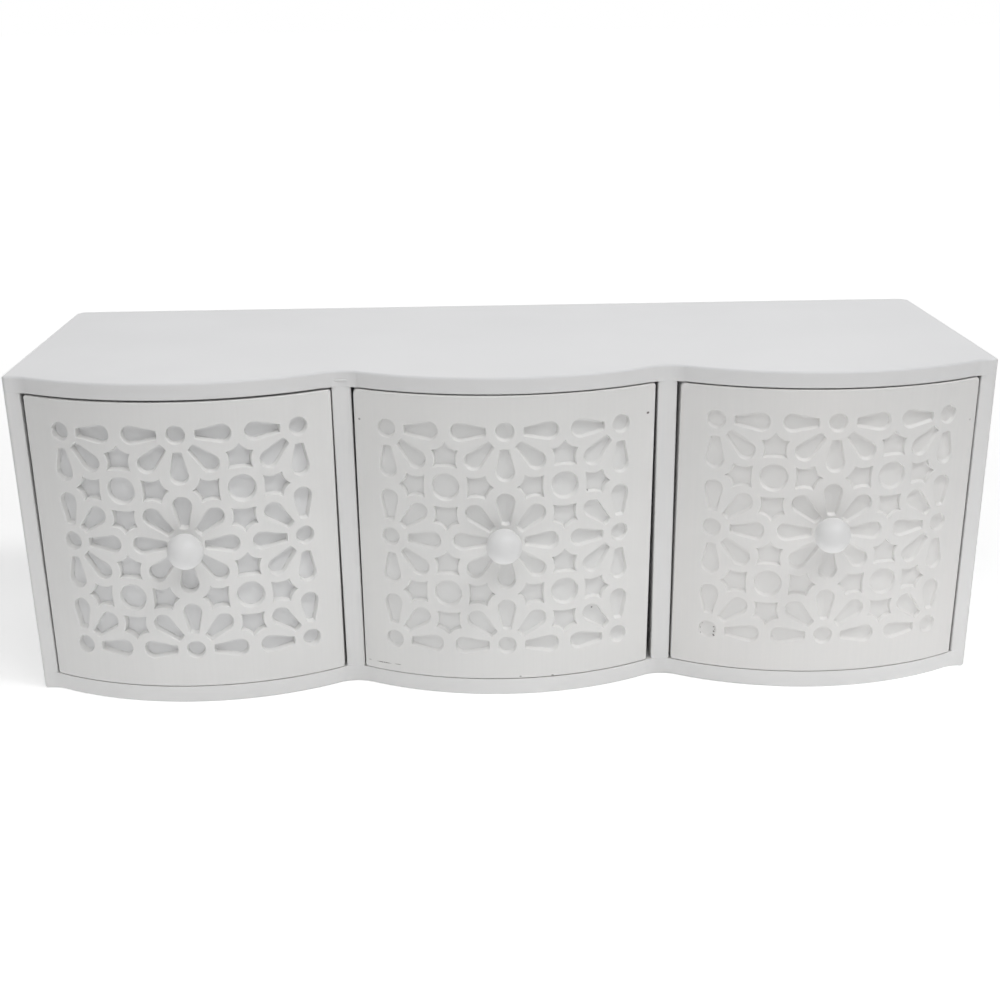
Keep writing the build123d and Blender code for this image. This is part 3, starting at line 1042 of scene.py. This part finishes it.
# Large soft lights from above the front, the left and the back, and two small ones that draw the carving: turn and rise
# in degrees, distance, size and power
lamps = (
    ("over_front", 0, 60, 1.5, 1.2, 8.1),
    ("left", -60, 42, 1.5, 1.2, 3.3),
    ("back", 180, 45, 1.5, 1.2, 4.0),
    ("key", 60, 57, 1.5, 0.4, 6.5),
    ("fill", 30, 43, 1.5, 0.3, 1.3),
)

deselect_all()
bpy.ops.mesh.primitive_plane_add(size=floor_size)
floor = bpy.context.object
floor.name = "floor"
floor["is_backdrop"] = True


def seen_directly(tree):
    """1 for rays that come from the camera, a gloss or a glass, else 0."""
    path = tree.nodes.new("ShaderNodeLightPath")
    largest = path.outputs["Is Camera Ray"]
    for name in ("Is Glossy Ray", "Is Transmission Ray"):
        larger = tree.nodes.new("ShaderNodeMath")
        larger.operation = "MAXIMUM"
        tree.links.new(largest, larger.inputs[0])
        tree.links.new(path.outputs[name], larger.inputs[1])
        largest = larger.outputs[0]
    return largest


floor_finish = Finish("floor_white")
floor_white = floor_finish.mix(floor_finish.noise(floor_cloud_scale), floor_shade, floor_light)
floor_finish.join(floor_white, floor_finish.shader.inputs["Base Color"])
floor_finish.shader.inputs["Roughness"].default_value = floor_rough
floor_finish.shader.inputs["Specular IOR Level"].default_value = 0.0
floor_finish.shader.inputs["Emission Color"].default_value = pure_white
away = floor_finish.add("ShaderNodeVectorMath", {0: floor_finish.place}, operation="LENGTH").outputs["Value"]
seen_glow = floor_finish.spread(away, seen_near[0], seen_far[0], seen_near[1], seen_far[1])
sheet_glow = 0.0
for x, y, strength in sheet_glows:
    sheet = floor_finish.blot((x, y, 0.0), (sheet_reach, sheet_reach, sheet_reach), 0.0)
    sheet_glow = floor_finish.math("ADD", floor_finish.math("MULTIPLY", sheet, strength), sheet_glow)
seen = seen_directly(floor_finish.tree)
unseen = floor_finish.math("SUBTRACT", 1.0, seen)
glow = floor_finish.math(
    "ADD", floor_finish.math("MULTIPLY", seen, seen_glow), floor_finish.math("MULTIPLY", unseen, sheet_glow)
)
floor_finish.join(glow, floor_finish.shader.inputs["Emission Strength"])
finish_with(floor, floor_finish)

world = bpy.data.worlds.new("studio")
bpy.context.scene.world = world
world.use_nodes = True
sky = world.node_tree.nodes["Background"]
backdrop = world.node_tree.nodes.new("ShaderNodeBackground")
both = world.node_tree.nodes.new("ShaderNodeMixShader")
sky.inputs["Color"].default_value = pure_white
sky.inputs["Strength"].default_value = sky_glow
backdrop.inputs["Color"].default_value = pure_white
backdrop.inputs["Strength"].default_value = backdrop_glow
links = world.node_tree.links
links.new(seen_directly(world.node_tree), both.inputs["Fac"])
links.new(sky.outputs[0], both.inputs[1])
links.new(backdrop.outputs[0], both.inputs[2])
links.new(both.outputs[0], world.node_tree.nodes["World Output"].inputs["Surface"])


def softbox(name, turn, rise, distance, size, power):
    """A square soft light that looks at the chest, from a turn to the right of its front and a rise over the floor."""
    away = (sin(turn) * cos(rise), -cos(turn) * cos(rise), sin(rise))
    place = [start + distance * step for start, step in zip(chest_middle, away)]
    bpy.ops.object.light_add(type="AREA", location=place, rotation=(pi / 2 - rise, 0, turn))
    lamp = bpy.context.object
    lamp.name = name
    lamp.data.size = size
    lamp.data.energy = power


for name, turn, rise, distance, size, power in lamps:
    softbox(name, radians(turn), radians(rise), distance, size, power)

bpy.context.scene.view_settings.view_transform = "Standard"

size = {"cad_box": [list(corner) for corner in cad_box], "visual_box": [list(corner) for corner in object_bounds()]}
